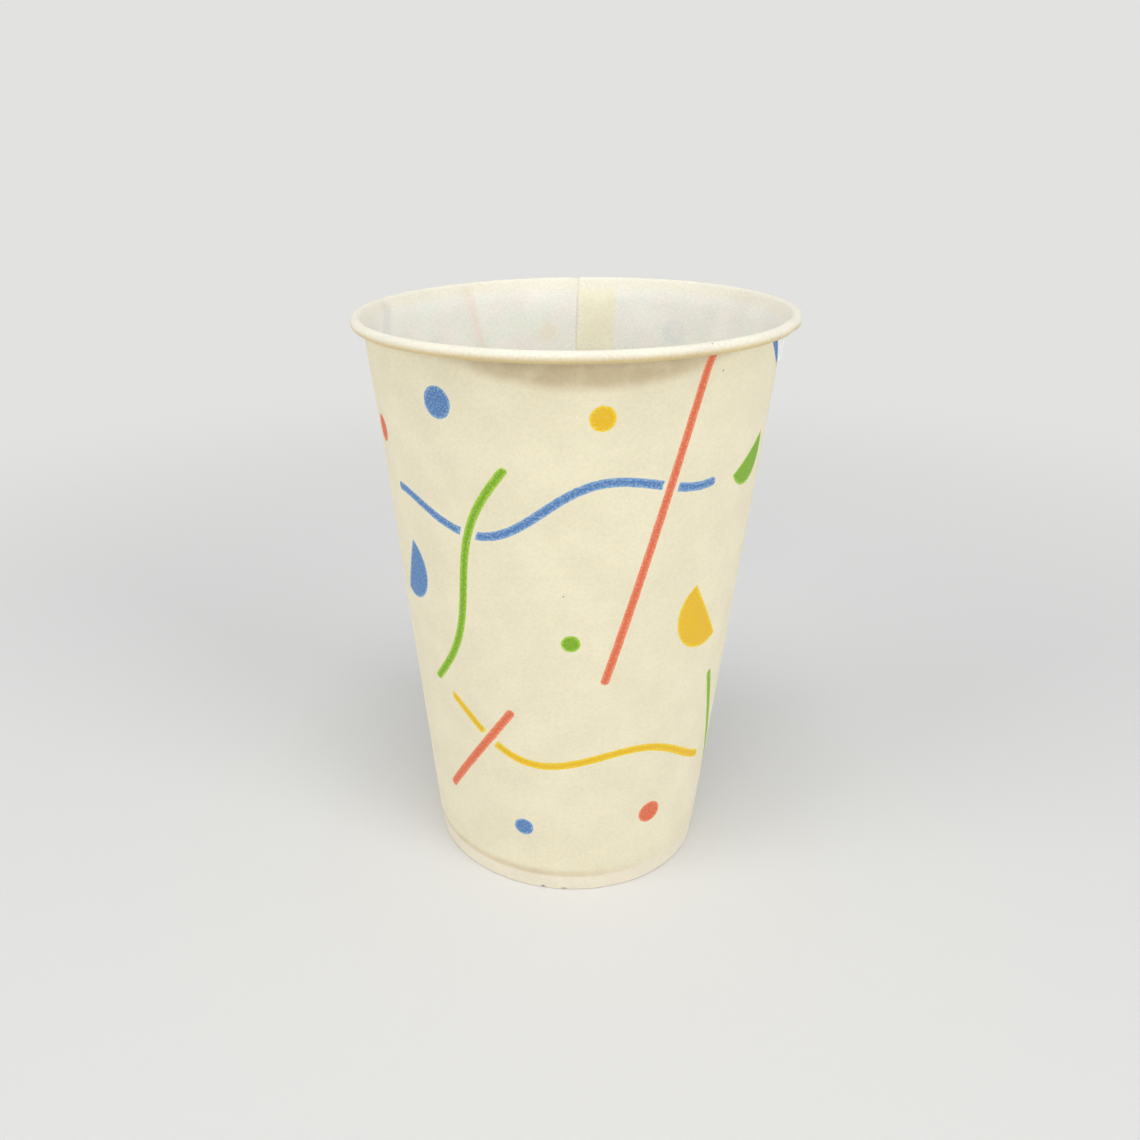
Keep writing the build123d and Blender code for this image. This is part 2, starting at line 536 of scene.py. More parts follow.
@dataclass(frozen=True)
class SideWall:
    """The rolled blank: hem, wall, neck and rim, with its lap, its dent and its wear.

    Columns are finer at the seam, at the dent and at the nicks, between the two azimuths
    that each fine zone gives with its step.
    """

    sizes: CupSizes
    dent: Dent = Dent()
    unevenness: Unevenness = Unevenness()
    single_span: Pair = (83.9, -259.4)
    edge_step: float = 0.15
    coarse_step: float = 1.6
    fine_zones: tuple[Triple, ...] = (
        (84.0, 78.0, 0.6),
        (3.5, -24.0, 0.5),
        (-79.5, -92.5, 0.4),
    )
    flap_step: float = 0.012
    under_inner_turn: float = 4.0
    over_inner_turn: float = 50.0
    name: str = "side_wall_look"

    def _columns(self) -> Grid:
        """Spreads the columns along the sheet.

        Returns:
            Their places: 0 to 1 is the inner flap, 1 to 2 the single wall, 2 to 3 the ramp
            and 3 to 4 the outer flap.
        """
        start, end = self.single_span
        azimuths = [start, start - self.edge_step]
        while azimuths[-1] > end + self.coarse_step:
            here = azimuths[-1]
            steps = [step for high, low, step in self.fine_zones if low < here <= high]
            azimuths.append(here - (steps[0] if steps else self.coarse_step))
        single = 1 + (start - np.array(azimuths)) / (start - end)
        inner, outer = np.linspace(0, 1, 10)[:-1], np.linspace(3, 4, 10)
        return np.concatenate([inner, single, np.linspace(2, 2.97, 7), outer])

    def _azimuths(self, columns: Grid, radius: Grid) -> Grid:
        """Turns the columns' places into azimuths, so that the lap keeps one width.

        Args:
            columns: Places of the columns.
            radius: Radius of each row.

        Returns:
            Azimuths by row and column.
        """
        s = self.sizes
        lap = np.degrees(np.arcsin(s.lap_half_width / radius))
        ramp = np.degrees(s.lap_ramp / radius)
        after = s.seam_azimuth - 360
        stops = [s.seam_azimuth + lap, s.seam_azimuth - lap]
        stops += [after + lap + ramp, after + lap, after - lap]
        return np.array([np.interp(columns, range(5), stop) for stop in np.array(stops).T])

    def _sections(self, columns: Grid) -> tuple[SheetPath, list[Grid]]:
        """Blends the three ways that the sheet runs: plain, under the lap and over it.

        Args:
            columns: Places of the columns.

        Returns:
            The plain path, and the near and the far face as grids of radius and height.
        """
        s = self.sizes
        doubled = s.wall_paper + s.lap_glue
        plain = WallPath(s, s.inner_turn).sampled()
        under = WallPath(s, self.under_inner_turn, lift=doubled).sampled()
        over = WallPath(s, self.over_inner_turn, outward=doubled).sampled()
        below = (1 - ease(columns, 1.0, 1.0 + self.flap_step))[None, :, None]
        above = ease(columns, 2, 3)[None, :, None]
        grids = []
        for face in (SheetPath.near, SheetPath.far):
            base, lower, upper = (face(path)[:, None, :] for path in (plain, under, over))
            grids.append(base + (lower - base) * below + (upper - base) * above)
        return plain, grids

    def build(self) -> bpy.types.Object:
        """Makes the piece.

        Returns:
            The mesh object, in place of the node side_wall.
        """
        columns = self._columns()
        plain, grids = self._sections(columns)
        azimuth = self._azimuths(columns, plain.near()[:, 0])
        height = grids[0][:, :, 1]
        length = np.array(plain.lengths)[:, None] + np.zeros_like(azimuth)
        on_wall = length <= plain.stops[Stop.ROLL]
        push = self.dent.push(azimuth, height) * on_wall + self.unevenness.push(azimuth, height)
        nick = self.unevenness.nick_lift(azimuth, height)
        lap = np.where((columns <= 1) | (columns >= 3), 1.0, 0.0)
        notes = {
            "sheet_azimuth": azimuth,
            "sheet_length": length - plain.stops[Stop.FOOT],
            "sheet_lap": lap + np.zeros_like(azimuth),
            "sheet_crease": self.dent.past_crease(azimuth, height),
        }
        faces = [self._placed(grid, azimuth, push, nick) for grid in grids]
        piece = SheetGrids(*faces, notes).build(self.name)
        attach(piece, "root")
        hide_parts("side_wall")
        LOG.info("%s has %d faces", self.name, len(piece.data.polygons))
        return piece

    def _placed(self, grid: Grid, azimuth: Grid, push: Grid, nick: Grid) -> Grid:
        """Takes one face of the sheet into space.

        Args:
            grid: Its radius and height by row and column.
            azimuth: Azimuths of its points.
            push: How far they move outwards.
            nick: How far the nicks lift them.

        Returns:
            Points by row and column.
        """
        radius = grid[:, :, 0] + push
        turn = np.radians(azimuth)
        height = self.unevenness.raised(azimuth, grid[:, :, 1], nick)
        return np.stack([radius * np.cos(turn), radius * np.sin(turn), height], -1)

    def dress(self, piece: bpy.types.Object) -> None:
        """Gives the piece its printed paper.

        Args:
            piece: The mesh object.
        """
        plain = WallPath(self.sizes, self.sizes.inner_turn).sampled()
        roll_start = plain.stops[Stop.ROLL] - plain.stops[Stop.FOOT]
        paper = PrintedPaper(blank=Blank.of(self.sizes), roll_start=roll_start)
        piece.data.materials.append(paper.build())


@dataclass(frozen=True)
class BottomDisc:
    """The disc that closes the foot, turned down into the skirt that the hem grips."""

    sizes: CupSizes
    columns: int = 240
    hub: float = 0.4
    rim_band: float = 4.0
    sag: float = 0.22
    sag_reach: float = 25.0
    warp: Ripple = Ripple(0.05, 2, 0.4)
    warp_zone: Pair = (2.0, 14.0)
    warp_close: Pair = (18.0, 25.4)
    puckers: tuple[Ripple, ...] = (
        Ripple(0.022, 36),
        Ripple(0.0154, 61, 1.0),
        Ripple(0.011, 23, 2.0),
    )
    pucker_zone: Pair = (22.5, 25.6)
    pucker_close: Pair = (25.9, 26.4)
    name: str = "bottom_disc_look"

    def _path(self) -> SheetPath:
        """Samples the section.

        Returns:
            The path from close to the axis to the skirt's lower edge.
        """
        s = self.sizes
        turn = 90 + s.wall_slant
        tangent = s.disc_corner * math.tan(math.radians(turn / 2))
        top = s.hem_height + s.hem_headroom + s.disc_paper
        skirt_end = 2 * (s.wall_paper + s.glue_line)
        corner_r = s.band_radius(top) - s.glue_line * s.slant_width
        path = SheetPath((self.hub, top), 0, s.disc_paper)
        path.run(corner_r - tangent - self.hub - self.rim_band, 8)
        path.run(self.rim_band, 8)
        path.bend(s.disc_corner, -turn, 10)
        path.run((top - skirt_end) * s.slant_width - tangent, 5)
        return path

    def _sag(self, radius: Grid, turn: Grid) -> Grid:
        """Works out how the flat of the disc has warped, and puckered next to its corner.

        Args:
            radius: Radii of the points.
            turn: Their azimuths in radians.

        Returns:
            Millimetres upwards.
        """
        middle = 1 - ease(radius, 0, self.sag_reach)
        warp = self.warp.push(turn, radius) * ease(radius, *self.warp_zone)
        warp = warp * (1 - ease(radius, *self.warp_close))
        pucker = sum(ripple.push(turn, radius) for ripple in self.puckers)
        pucker = pucker * ease(radius, *self.pucker_zone) * (1 - ease(radius, *self.pucker_close))
        return warp + pucker - self.sag * middle

    def build(self) -> bpy.types.Object:
        """Makes the piece.

        Returns:
            The mesh object, in place of the node bottom_disc.
        """
        path = self._path()
        turn = np.linspace(0, 2 * np.pi, self.columns, endpoint=False)[None, :]
        faces = []
        for section in (path.near(), path.far()):
            radius = section[:, 0][:, None] + np.zeros_like(turn)
            height = section[:, 1][:, None] + self._sag(radius, turn)
            points = [radius * np.cos(turn), radius * np.sin(turn), height]
            faces.append(np.stack(points, -1))
        piece = self._closed(*faces)
        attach(piece, "root")
        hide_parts("bottom_disc")
        LOG.info("%s has %d faces", self.name, len(piece.data.polygons))
        return piece

    def _closed(self, near: Grid, far: Grid) -> bpy.types.Object:
        """Closes two grids of rings into one solid skin.

        Args:
            near: Points of the upper face by ring and column.
            far: Points of the lower face.

        Returns:
            The mesh object.
        """
        rings = np.concatenate([near, far[::-1]])
        rows, columns = rings.shape[:2]
        number = np.arange(rows * columns).reshape(rows, columns)
        after = np.roll(number, -1, 1)
        quads = np.stack([number[:-1], number[1:], after[1:], after[:-1]], -1).reshape(-1, 4)
        hubs = [[0, 0, near[0, :, 2].mean()], [0, 0, far[0, :, 2].mean()]]
        points = np.concatenate([rings.reshape(-1, 3), hubs])
        top, bottom = rows * columns, rows * columns + 1
        fans = [[top, a, b] for a, b in zip(number[0].tolist(), after[0].tolist())]
        fans += [[bottom, b, a] for a, b in zip(number[-1].tolist(), after[-1].tolist())]
        return make_piece(self.name, points, quads.tolist() + fans)

    def dress(self, piece: bpy.types.Object) -> None:
        """Gives the piece its plain paper."""
        piece.data.materials.append(PlainPaper().build())


# Shading


def linear(colour: str) -> tuple[float, float, float, float]:
    """Turns a screen colour into the one that a shader works with.

    Args:
        colour: Six hex digits.

    Returns:
        Linear red, green and blue, and an alpha of 1.
    """
    parts = [int(colour[k : k + 2], 16) / 255 for k in (0, 2, 4)]
    parts = [c / 12.92 if c <= 0.04045 else ((c + 0.055) / 1.055) ** 2.4 for c in parts]
    return (*parts, 1.0)


class Graph:
    """A node tree, with one way to add and link its nodes."""

    def __init__(self, tree: bpy.types.NodeTree) -> None:
        """Works on this tree."""
        self.tree = tree

    def add(self, kind: str, inputs: Mapping | None = None, **settings: object) -> bpy.types.Node:
        """Adds a node.

        Args:
            kind: Type name of the node.
            inputs: Values and links by input name or number.
            **settings: Properties of the node.

        Returns:
            The node.
        """
        node = self.tree.nodes.new(kind)
        for label, value in settings.items():
            setattr(node, label, value)
        self.feed(node, inputs or {})
        return node

    def feed(self, node: bpy.types.Node, inputs: Mapping) -> None:
        """Sets or links a node's inputs.

        Args:
            node: The node.
            inputs: Values and links by input name or number. A text is a screen colour.
        """
        for label, value in inputs.items():
            source = value.socket if isinstance(value, Field) else value
            if isinstance(source, bpy.types.NodeSocket):
                self.tree.links.new(source, node.inputs[label])
            else:
                number = linear(source) if isinstance(source, str) else source
                node.inputs[label].default_value = number

    def coated(self, base: object, *coats: tuple[object, object]) -> object:
        """Lays coats of colour over a base, one after another.

        Args:
            base: Screen colour or socket.
            *coats: For each coat, how much it covers, and its screen colour or socket.

        Returns:
            Socket of the colour that shows.
        """
        for cover, colour in coats:
            inputs = {0: cover, 6: base, 7: colour}
            base = self.add("ShaderNodeMix", inputs, data_type="RGBA").outputs[2]
        return base


class Finish(Graph):
    """The node tree of one material."""

    def __init__(self, name: str) -> None:
        """Makes a material.

        Args:
            name: Its name.
        """
        self.material = bpy.data.materials.new(name)
        self.material.use_nodes = True
        super().__init__(self.material.node_tree)
        self.shader = self.tree.nodes["Principled BSDF"]


class Field:
    """A number that a shader works out at every point, with plain arithmetic."""

    def __init__(self, graph: Graph, socket: bpy.types.NodeSocket) -> None:
        """Wraps a socket of this graph."""
        self.graph = graph
        self.socket = socket

    def math(self, operation: str, *others: object) -> "Field":
        """Works on this number.

        Args:
            operation: Blender's name for what is done.
            *others: Further numbers that it takes.

        Returns:
            The result.
        """
        inputs = dict(enumerate((self, *others)))
        node = self.graph.add("ShaderNodeMath", inputs, operation=operation)
        return Field(self.graph, node.outputs[0])

    def __add__(self, other: object) -> "Field":
        """Sum of two numbers."""
        return self.math("ADD", other)

    def __sub__(self, other: object) -> "Field":
        """Difference of two numbers."""
        return self.math("SUBTRACT", other)

    def __mul__(self, other: object) -> "Field":
        """Product of two numbers."""
        return self.math("MULTIPLY", other)

    def __neg__(self) -> "Field":
        """This number with its sign turned round."""
        return self.math("MULTIPLY", -1.0)

    def scaled(self, factor: float, offset: object) -> "Field":
        """This number times a factor, plus an offset."""
        return self.math("MULTIPLY_ADD", factor, offset)

    def reach(self, other: "Field") -> "Field":
        """Length of the slanting side over two square ones."""
        return (self * self + other * other).math("SQRT")

    def climb(self, low: object, high: object) -> "Field":
        """Climbs smoothly from 0 to 1.

        Args:
            low: Value where the climb starts.
            high: Value where it ends, which may be the lower one.

        Returns:
            Share climbed.
        """
        inputs = {"Value": self, "From Min": low, "From Max": high}
        node = self.graph.add("ShaderNodeMapRange", inputs, interpolation_type="SMOOTHSTEP")
        return Field(self.graph, node.outputs["Result"])


@dataclass(frozen=True)
class Mottle:
    """A cloudy pattern: grain in millimetres, finer layers, and where its climb starts and ends."""

    grain: float
    layers: float
    low: float = 0.0
    high: float = 1.0

    def raw(self, graph: Graph, point: object) -> Field:
        """The pattern as numbers round 0.5, at a place in millimetres."""
        inputs = {"Vector": point, "Scale": 1 / self.grain, "Detail": self.layers}
        return Field(graph, graph.add("ShaderNodeTexNoise", inputs).outputs["Fac"])

    def on(self, graph: Graph, point: object) -> Field:
        """The pattern with more contrast, from 0 to 1."""
        return self.raw(graph, point).climb(self.low, self.high)


# Print


class Ink(Enum):
    """Printing inks, each with the colour of its thick middle and of its thin edge."""

    CORAL = ("E46C46", "F28E68")
    GREEN = ("7AB000", "A8D034")
    YELLOW = ("EEBE00", "F8D41A")
    BLUE = ("4A80BC", "7AA6D4")

    @property
    def thinness(self) -> float:
        """How much of the paper shows between the grains. The blue is the thinnest ink."""
        return 0.26 if self is Ink.BLUE else 0.14


@dataclass(frozen=True)
class Blank:
    """The flat fan that the wall is rolled from."""

    foot_slant: float
    fan_share: float
    front: float = -81.5
    repeats: int = 2

    @classmethod
    def of(cls, sizes: CupSizes) -> "Blank":
        """The blank of a cup with these sizes."""
        share = math.sin(math.radians(sizes.wall_slant))
        return cls(foot_slant=sizes.foot_radius / share, fan_share=share)

    def flat(self, azimuth: float, length: float) -> Pair:
        """Finds a place on the blank.

        Args:
            azimuth: Degrees from the front.
            length: Millimetres up the wall.

        Returns:
            Millimetres across and up.
        """
        fan = math.radians(azimuth) * self.fan_share
        slant = self.foot_slant + length
        return slant * math.sin(fan), slant * math.cos(fan) - self.foot_slant

    def coordinates(self, azimuth: Field, length: Field, repeated: bool) -> tuple[Field, Field]:
        """Finds places on the blank for a shader.

        Args:
            azimuth: Degrees round the cup.
            length: Millimetres up the wall.
            repeated: Whether the print's repeats are laid over each other.

        Returns:
            Millimetres across and up.
        """
        turn = azimuth - self.front
        if repeated:
            turn = turn.math("WRAP", 180.0 / self.repeats, -180.0 / self.repeats)
        fan = turn * (math.radians(1) * self.fan_share)
        slant = length + self.foot_slant
        return slant * fan.math("SINE"), slant * fan.math("COSINE") - self.foot_slant


@dataclass(frozen=True)
class Motif:
    """A shape of the print, placed by azimuth from the front and by height on the wall."""

    ink: Ink
    azimuth: float
    height: float
    tilt: float = 0.0

    def distance(self, blank: Blank, x: Field, y: Field) -> Field:
        """Measures to the motif's outline.

        Args:
            blank: The flat blank.
            x: Place across the blank.
            y: Place up the blank.

        Returns:
            Millimetres, negative inside the motif.
        """
        centre = blank.flat(self.azimuth, self.height)
        c, s = unit(self.tilt)
        along = x.scaled(c, y.scaled(s, float(-centre[0] * c - centre[1] * s)))
        left = x.scaled(-s, y.scaled(c, float(centre[0] * s - centre[1] * c)))
        return self.outline(along, left)

    def outline(self, along: Field, left: Field) -> Field:
        """The same from places along the motif and to its left. Each shape has its own."""
        raise NotImplementedError


@dataclass(frozen=True)
class Stroke(Motif):
    """A straight or wavy pen stroke with round ends."""

    half_length: float = 10.0
    half_width: float = 0.82
    rise: float = 0.0
    wavelength: float = 30.0

    def outline(self, along: Field, left: Field) -> Field:
        """Measures to the stroke's outline.

        Args:
            along: Place along the stroke, from its middle.
            left: Place to its left.

        Returns:
            Millimetres, negative inside the stroke.
        """
        if self.rise:
            phase = along * (2 * math.pi / self.wavelength)
            slope = phase.math("COSINE") * (self.rise * 2 * math.pi / self.wavelength)
            left = phase.math("SINE").scaled(-self.rise, left)
            left = left.math("DIVIDE", (slope * slope + 1.0).math("SQRT"))
        beyond = (along.math("ABSOLUTE") - self.half_length).math("MAXIMUM", 0.0)
        return left.reach(beyond) - self.half_width


@dataclass(frozen=True)
class Spot(Motif):
    """A disc, or a half disc with its flat side along its tilt."""

    radius: float = 3.0
    half: bool = False

    def outline(self, along: Field, left: Field) -> Field:
        """Distance to the spot's outline, negative inside it."""
        away = along.reach(left) - self.radius
        return away.math("MAXIMUM", -left) if self.half else away


@dataclass(frozen=True)
class Speck:
    """A dark fleck in the paper."""

    azimuth: float
    length: float
    radius: float


MOTIFS: tuple[Motif, ...] = (
    Stroke(Ink.CORAL, 25, 80, 74, half_length=31),
    Stroke(Ink.BLUE, -8, 83, 11, half_length=31, rise=3.6, wavelength=43),
    Stroke(Ink.GREEN, -33, 67, 70, half_length=25, rise=2.4, wavelength=52),
    Stroke(Ink.YELLOW, 7, 32, -12, half_length=28, rise=3.4, wavelength=44),
    Stroke(Ink.CORAL, -34, 30, 58, half_length=14),
    Stroke(Ink.GREEN, 68, 30, 104, half_length=15),
    Stroke(Ink.BLUE, 75.2, 106.6, 108, half_length=3.2, half_width=1.9),
    Spot(Ink.YELLOW, 49, 60, 118, radius=7.6, half=True),
    Spot(Ink.BLUE, -61, 66, 250, radius=6.8, half=True),
    Spot(Ink.GREEN, 59, 89, 205, radius=5.8, half=True),
    Spot(Ink.BLUE, -36, 101, 0, radius=2.9),
    Spot(Ink.CORAL, -68, 92, 0, radius=2.6),
    Spot(Ink.GREEN, 1, 58, 0, radius=1.7),
    Spot(Ink.YELLOW, 8, 100, 0, radius=2.2),
    Spot(Ink.BLUE, -16, 15, 0, radius=1.9),
    Spot(Ink.CORAL, 34, 17, 0, radius=2.4),
)
# Which motif stops short of which other one, by their places in the list
CROSSINGS = ((1, 0), (1, 2), (3, 4))
SPECKS = (
    Speck(-82.8, 67.6, 0.22),
    Speck(-41.6, 106.0, 0.26),
    Speck(-51.9, 94.4, 0.16),
    Speck(-49.2, 112.9, 0.2),
    Speck(-148.5, 104.0, 0.16),
)


# Finishes


@dataclass(frozen=True, kw_only=True)
class WaxedPaper:
    """Bleached cupstock, rolled smooth at the mill and coated with a thin film of wax.

    The coating gives the eye a broad and weak sheen, and the pulp shows through it as faint
    clouds. Fibres are about 0.03 mm wide, too fine to show in the render, so their grain is
    drawn as coarse as it needs to show, in tufts of about half a millimetre.
    """

    roughness: float = 0.58
    ior: float = 1.46
    specular: float = 0.4
    tooth: Mottle = Mottle(0.35, 3.0)
    tooth_height: float = 0.006
    cockle: Mottle = Mottle(2.6, 2.0)
    cockle_height: float = 0.02

    def _coat(self, finish: Finish) -> None:
        """Sets the sheen of the coating."""
        sheen = {"Roughness": self.roughness, "IOR": self.ior}
        finish.feed(finish.shader, sheen | {"Specular IOR Level": self.specular})

    def _relief(self, finish: Finish, point: object) -> Field:
        """Height of the paper's tooth and of its slight cockles, in millimetres."""
        tooth = self.tooth.raw(finish, point) * self.tooth_height
        return tooth + self.cockle.raw(finish, point) * self.cockle_height

    def _raise(self, finish: Finish, height: Field) -> None:
        """Tilts the shading by a relief in millimetres."""
        bump = finish.add("ShaderNodeBump", {"Height": height * MM, "Strength": 1, "Distance": 1})
        finish.feed(finish.shader, {"Normal": bump.outputs["Normal"]})

    def _shaded(self, finish: Finish, colour: object, darker: Field, full: float) -> object:
        """Darkens a colour by a share of its brightness, which starts from full."""
        inputs = {"Value": darker.scaled(-1.0, full), "Color": colour}
        return finish.add("ShaderNodeHueSaturation", inputs).outputs["Color"]


@dataclass(frozen=True, kw_only=True)
class PrintedPaper(WaxedPaper):
    """Cupstock printed on its outside with thin spot inks.

    The ink sinks in unevenly, which gives the eye ragged edges, a paler border and a fine
    grain of paper inside each shape. The sheet lets some light through, so the print shows
    as a faint ghost inside. The grain of the ink is that of the fibres, and is drawn coarser
    than it is for the same reason.

    Zones are lengths up the wall from the table, or from the start of the roll. The patterns
    of the two faces lie apart, so that they differ.
    """

    blank: Blank
    roll_start: float

    wall_cream: str = "F2E9CC"
    # painted light: the thick hem band paler, for the light that its layers send back instead of
    # letting it through
    hem_painted_light: str = "F5EAD4"
    # painted light: the rim's cream over the inside of the neck and the whole roll, for the lit rim
    # and the opaque rolled layers
    rim_painted_light: str = "F4EEDC"
    # painted shade: the underside of the roll darker and yellower
    bead_painted_shade: str = "E4CE98"
    inside_warm: str = "F9F2EA"
    inside_cool: str = "F1F3E8"
    # painted light: the lap creamier inside, where the doubled sheet lets less light through than
    # the single one
    lap_painted_light: str = "FBF3D8"
    # the crease strip without ink, with a painted highlight
    unprinted_lit_white: str = "FDFBF5"
    # painted shadow of the rim, with a warm stain in it
    shadow_and_stain: str = "CFBE99"
    # painted shade in the crease of the hem
    hem_shade_brown: str = "D8C198"
    speck_brown: str = "7C6A4E"

    # Pulp, and the light that goes through it
    cast: Mottle = Mottle(5.0, 4.0, 0.3, 0.7)
    cloud: Mottle = Mottle(8.0, 4.0, 0.3, 0.7)
    cloud_share: float = 0.055
    fibre: Mottle = Mottle(0.55, 3.0, 0.3, 0.75)
    fibre_inside: float = 0.09
    fibre_outside: float = 0.06
    full: float = 1.035
    faces_apart: float = 40.0
    glow: float = 0.3
    glow_reach: Triple = (0.5, 0.425, 0.3)

    # Zones of painted light and shade at the pressed hem, the roll and under the rim, where a stain
    # is painted too
    # hem band, where painted light makes it paler
    pressed_foot: Pair = (4.4, 3.1)
    # inside of the neck and the roll, where painted light gives the rim's cream
    flared: Pair = (-3.4, -0.6)
    # underside of the roll, where painted shade darkens it
    shaded_underside: Pair = (2.2, 3.5)
    blotch: Mottle = Mottle(4.0, 3.0, 0.25, 0.6)
    blotch_share: float = 0.35
    # painted shade in the hem's crease, broken up and stronger on one side
    hem_shade: Mottle = Mottle(17.0, 2.0, 0.2, 0.5)
    hem_shade_zones: tuple[Pair, ...] = ((2.8, 3.7), (5.4, 3.9))
    hem_shade_side: Pair = (-45.0, -85.0)
    hem_shade_share: float = 0.6
    # crescent of painted rim shadow, with a warm stain in it
    shadow_stain_azimuth: float = -76.5
    shadow_stain_reach: float = 44.0
    shadow_stain_rise: float = 5.0
    shadow_stain_zone: Pair = (103.8, 106.4)
    shadow_stain_share: float = 0.9

    # Strip along the dent's crease, free of ink and painted with a highlight, and specks
    crease_near: Pair = (-0.05, 0.1)
    crease_far: Pair = (2.3, 1.9)
    crease_foot: Pair = (102.4, 102.7)
    crease_top: float = 110.0
    speck_core: float = 0.4
    speck_share: float = 0.7

    # Ink
    ragged: float = 0.34
    crossing_gap: float = 0.75
    ink_grain: Mottle = Mottle(0.4, 2.0, 0.3, 0.55)
    ink_most: float = 0.99
    ink_border: Pair = (0.12, 0.6)
    border_wander: float = 1.3
    ink_edge: float = 0.07
    ghost: float = 0.1

    # Ribs in the hem
    ribs_per_turn: int = 150
    rib_height: float = 0.03
    rib_zone: Pair = (0.8, 1.6)

    def build(self) -> bpy.types.Material:
        """Makes the material.

        Returns:
            The material.
        """
        g = Finish("waxed_printed_paper")
        labels = ("azimuth", "length", "side", "lap", "crease")
        notes = [g.add("ShaderNodeAttribute", attribute_name=f"sheet_{k}") for k in labels]
        azimuth, length, side, lap, crease = (Field(g, note.outputs["Fac"]) for note in notes)
        outside = side.climb(0.4, 0.6)
        flat = self.blank.coordinates(azimuth, length, repeated=False)
        place = {0: flat[0], 1: flat[1], 2: side * self.faces_apart}
        point = g.add("ShaderNodeCombineXYZ", place).outputs[0]
        blotch = self.blotch.on(g, point)
        blotch = blotch.scaled(self.blotch_share, 1 - self.blotch_share)
        # painted shade in the crease of the hem
        hem_shade = self._hem_shade(azimuth, length) * self.hem_shade.on(g, point) * blotch * self.hem_shade_share
        # painted shadow under the rim, with a warm stain in it
        shadow_and_stain = self._shadow_and_stain(azimuth, length) * blotch * self.shadow_stain_share
        outer = g.coated(
            self.wall_cream,
            # painted light on the hem band
            (length.climb(*self.pressed_foot), self.hem_painted_light),
            (hem_shade, self.hem_shade_brown),
            (shadow_and_stain, self.shadow_and_stain),
        )
        flared, shaded_underside = (
            length.climb(*(self.roll_start + k for k in zone))
            for zone in (self.flared, self.shaded_underside)
        )
        inner = g.coated(
            self.inside_warm,
            (self.cast.on(g, point), self.inside_cool),
            # painted light on the doubled lap
            (lap, self.lap_painted_light),
            # painted light on the inside of the neck and on the roll
            (flared, self.rim_painted_light),
            # painted shade under the roll
            (shaded_underside, self.bead_painted_shade),
        )
        paper = g.coated(inner, (outside, outer))
        fibre = outside.scaled(self.fibre_outside - self.fibre_inside, self.fibre_inside)
        fibre = self.fibre.on(g, point) * fibre
        pulp = self.cloud.on(g, point) * self.cloud_share + fibre
        paper = self._shaded(g, paper, pulp, self.full)
        layers = self._print(g, point, azimuth, length, outside)
        # painted highlight on the crease strip, laid over the ink
        lit_crease_strip = self._unprinted_lit(crease, length) * outside
        specks = [(self._speck(speck, *flat), self.speck_brown) for speck in SPECKS]
        colour = g.coated(paper, *layers, (lit_crease_strip, self.unprinted_lit_white), *specks)
        g.feed(g.shader, {"Base Color": colour})
        self._coat(g)
        self._raise(g, self._relief(g, point) + self._ribs(azimuth, length))
        g.feed(g.shader, {"Subsurface Weight": self.glow, "Subsurface Radius": self.glow_reach})
        g.feed(g.shader, {"Subsurface Scale": MM})
        return g.material

    def _hem_shade(self, azimuth: Field, length: Field) -> Field:
        """How much painted shade darkens the crease of the hem."""
        below, above = self.hem_shade_zones
        return length.climb(*below) * length.climb(*above) * azimuth.climb(*self.hem_shade_side)

    def _shadow_and_stain(self, azimuth: Field, length: Field) -> Field:
        """How much painted shadow of the rim, with a warm stain in it, darkens a crescent under the
        rim.
        """
        across = ((azimuth - self.shadow_stain_azimuth) * (1 / self.shadow_stain_reach)).math("POWER", 2.0)
        return (length - across * self.shadow_stain_rise).climb(*self.shadow_stain_zone) * across.climb(1.0, 0.1)

    def _unprinted_lit(self, crease: Field, length: Field) -> Field:
        """Share of ink-free core with a painted highlight, by millimetres past the crease's edge
        and up the wall.
        """
        up = length.climb(*self.crease_foot) * length.climb(self.roll_start, self.crease_top)
        return up * crease.climb(*self.crease_near) * crease.climb(*self.crease_far)

    def _speck(self, speck: Speck, x: Field, y: Field) -> Field:
        """Finds a speck.

        Args:
            speck: The speck.
            x: Place across the blank.
            y: Place up the blank.

        Returns:
            Share of the speck's colour.
        """
        place = self.blank.flat(speck.azimuth - self.blank.front, speck.length)
        away = (x - place[0]).reach(y - place[1])
        return away.climb(speck.radius, speck.radius * self.speck_core) * self.speck_share

    def _print(
        self, g: Graph, point: object, azimuth: Field, length: Field, outside: Field
    ) -> list[tuple[Field, object]]:
        """Works out the coats of ink.

        Args:
            g: The material's tree.
            point: Place on the paper.
            azimuth: Degrees round the cup.
            length: Millimetres up the wall.
            outside: 1 on the outside of the sheet, 0 inside.

        Returns:
            For each ink, how much it covers and the socket of its colour.
        """
        x, y = self.blank.coordinates(azimuth, length, repeated=True)
        wander = (self.fibre.raw(g, point) - 0.5) * self.ragged
        away = [motif.distance(self.blank, x, y) + wander for motif in MOTIFS]
        for under, over in CROSSINGS:
            clear = -away[over] + self.crossing_gap
            away[under] = away[under].math("MAXIMUM", clear)
        shown = outside.scaled(1 - self.ghost, self.ghost)
        edge = outside.scaled(self.ink_edge - 1.0, 1.0)
        speckle = self.ink_grain.raw(g, point)
        layers = []
        for ink in Ink:
            nearest, *others = (d for d, motif in zip(away, MOTIFS) if motif.ink is ink)
            for other in others:
                nearest = nearest.math("MINIMUM", other)
            middle, border = ink.value
            within = -nearest
            depth = (speckle - 0.5).scaled(self.border_wander, within)
            body = g.coated(border, (depth.climb(*self.ink_border), middle))
            grain = speckle.climb(self.ink_grain.low, self.ink_grain.high)
            grain = grain.scaled(ink.thinness, self.ink_most - ink.thinness)
            layers.append((within.climb(-edge, edge) * grain * shown, body))
        return layers

